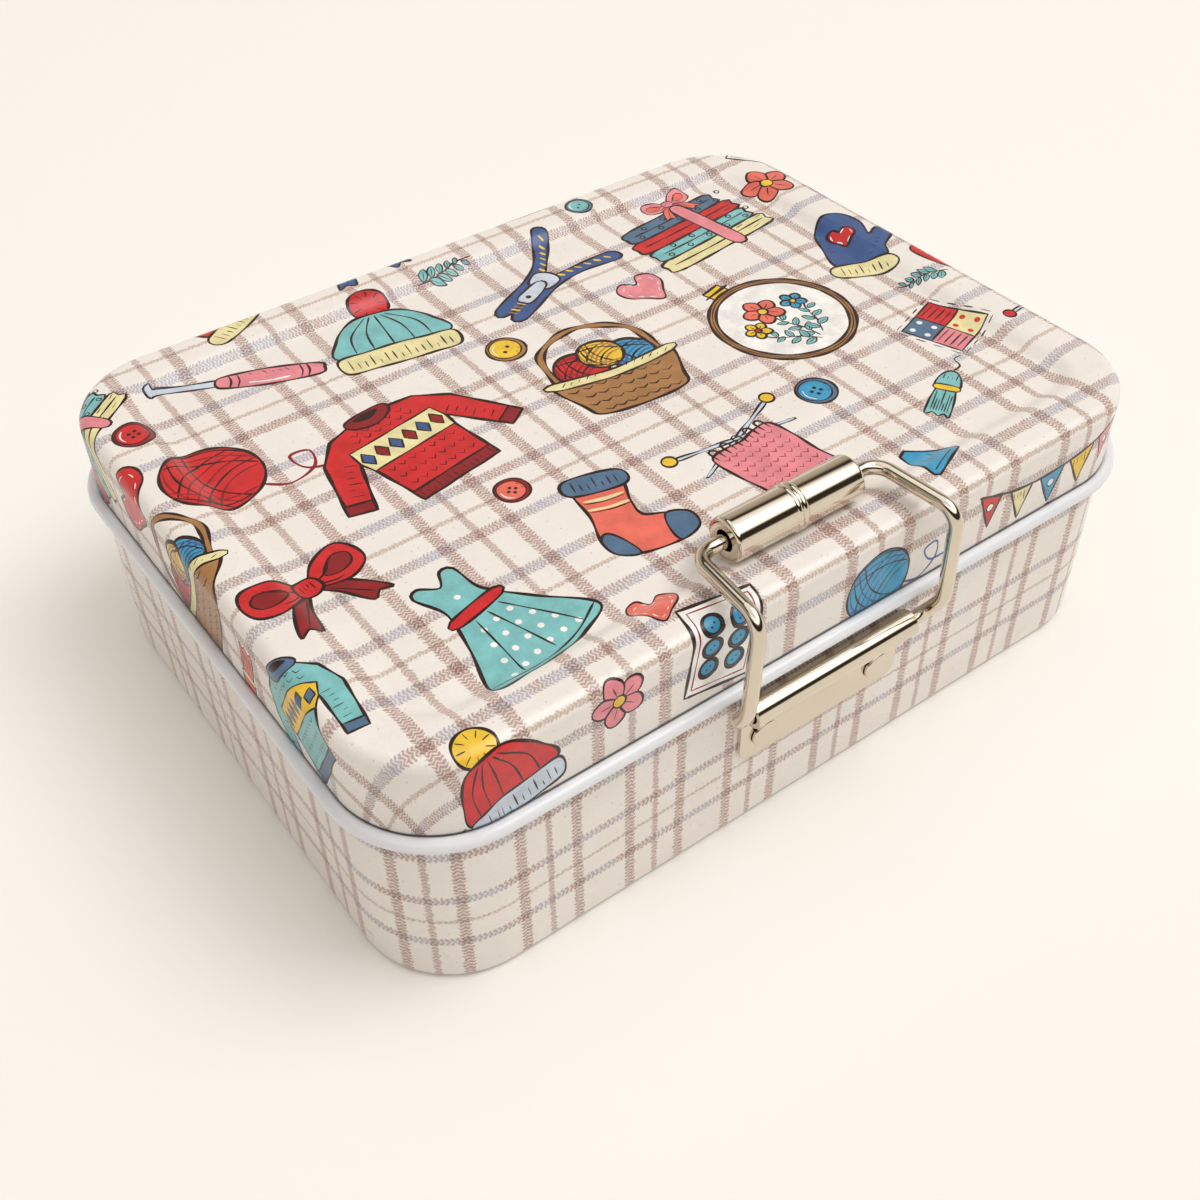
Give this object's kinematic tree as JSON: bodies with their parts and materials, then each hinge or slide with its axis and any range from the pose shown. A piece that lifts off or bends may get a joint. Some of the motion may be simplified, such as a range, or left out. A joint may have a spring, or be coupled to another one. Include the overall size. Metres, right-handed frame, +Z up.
{
  "type": "sewing tin",
  "caption": "Shallow rectangular tinplate box with rounded corners, a hinged lid with a sunk panel, a rolled rim and a wire bail handle that folds over the lid.",
  "frame": {"origin": "on the surface that the tin rests on, under the middle of the body between its four walls", "axes": "+Z up; X along the length; the front, with the handle, faces -Y and the hinges are on +Y"},
  "size_m": [0.207, 0.1677, 0.0745],
  "materials": {
    "printed_body_tinplate": "lacquered tinplate, plaid print, rim left plain white",
    "printed_lid_tinplate": "lacquered tinplate, plaid print with drawn motifs",
    "nickel_hardware": "polished nickel plate, slightly warm"
  },
  "bodies": {
    "box": {"body_shell": "printed_body_tinplate", "handle_plate": "nickel_hardware", "hinge_left_body_leaf": "nickel_hardware", "hinge_left_body_rivet_inner": "nickel_hardware", "hinge_left_body_rivet_outer": "nickel_hardware", "hinge_left_pin": "nickel_hardware", "hinge_right_body_leaf": "nickel_hardware", "hinge_right_body_rivet_inner": "nickel_hardware", "hinge_right_body_rivet_outer": "nickel_hardware", "hinge_right_pin": "nickel_hardware", "plate_rivet_left": "nickel_hardware", "plate_rivet_right": "nickel_hardware"},
    "lid": {"hinge_left_lid_leaf": "nickel_hardware", "hinge_left_lid_rivet_inner": "nickel_hardware", "hinge_left_lid_rivet_outer": "nickel_hardware", "hinge_right_lid_leaf": "nickel_hardware", "hinge_right_lid_rivet_inner": "nickel_hardware", "hinge_right_lid_rivet_outer": "nickel_hardware", "lid_shell": "printed_lid_tinplate"},
    "bail": {"bail_wire": "nickel_hardware"},
    "grip": {"grip_sleeve": "nickel_hardware"}
  },
  "joints": [
    {"name": "lid_hinge", "type": "hinge", "parent": "box", "child": "lid", "pos_m": [0, 0.08075, 0.0466], "axis": [-1, 0, 0], "range_deg": [0, 105]},
    {"name": "bail_swing", "type": "hinge", "parent": "box", "child": "bail", "pos_m": [0, -0.07805, 0.03815], "axis": [1, 0, 0], "range_deg": [0, 158]},
    {"name": "grip_spin", "type": "hinge", "parent": "bail", "child": "grip", "pos_m": [0, -0.0612, 0.0693], "axis": [1, 0, 0], "continuous": true}
  ]
}
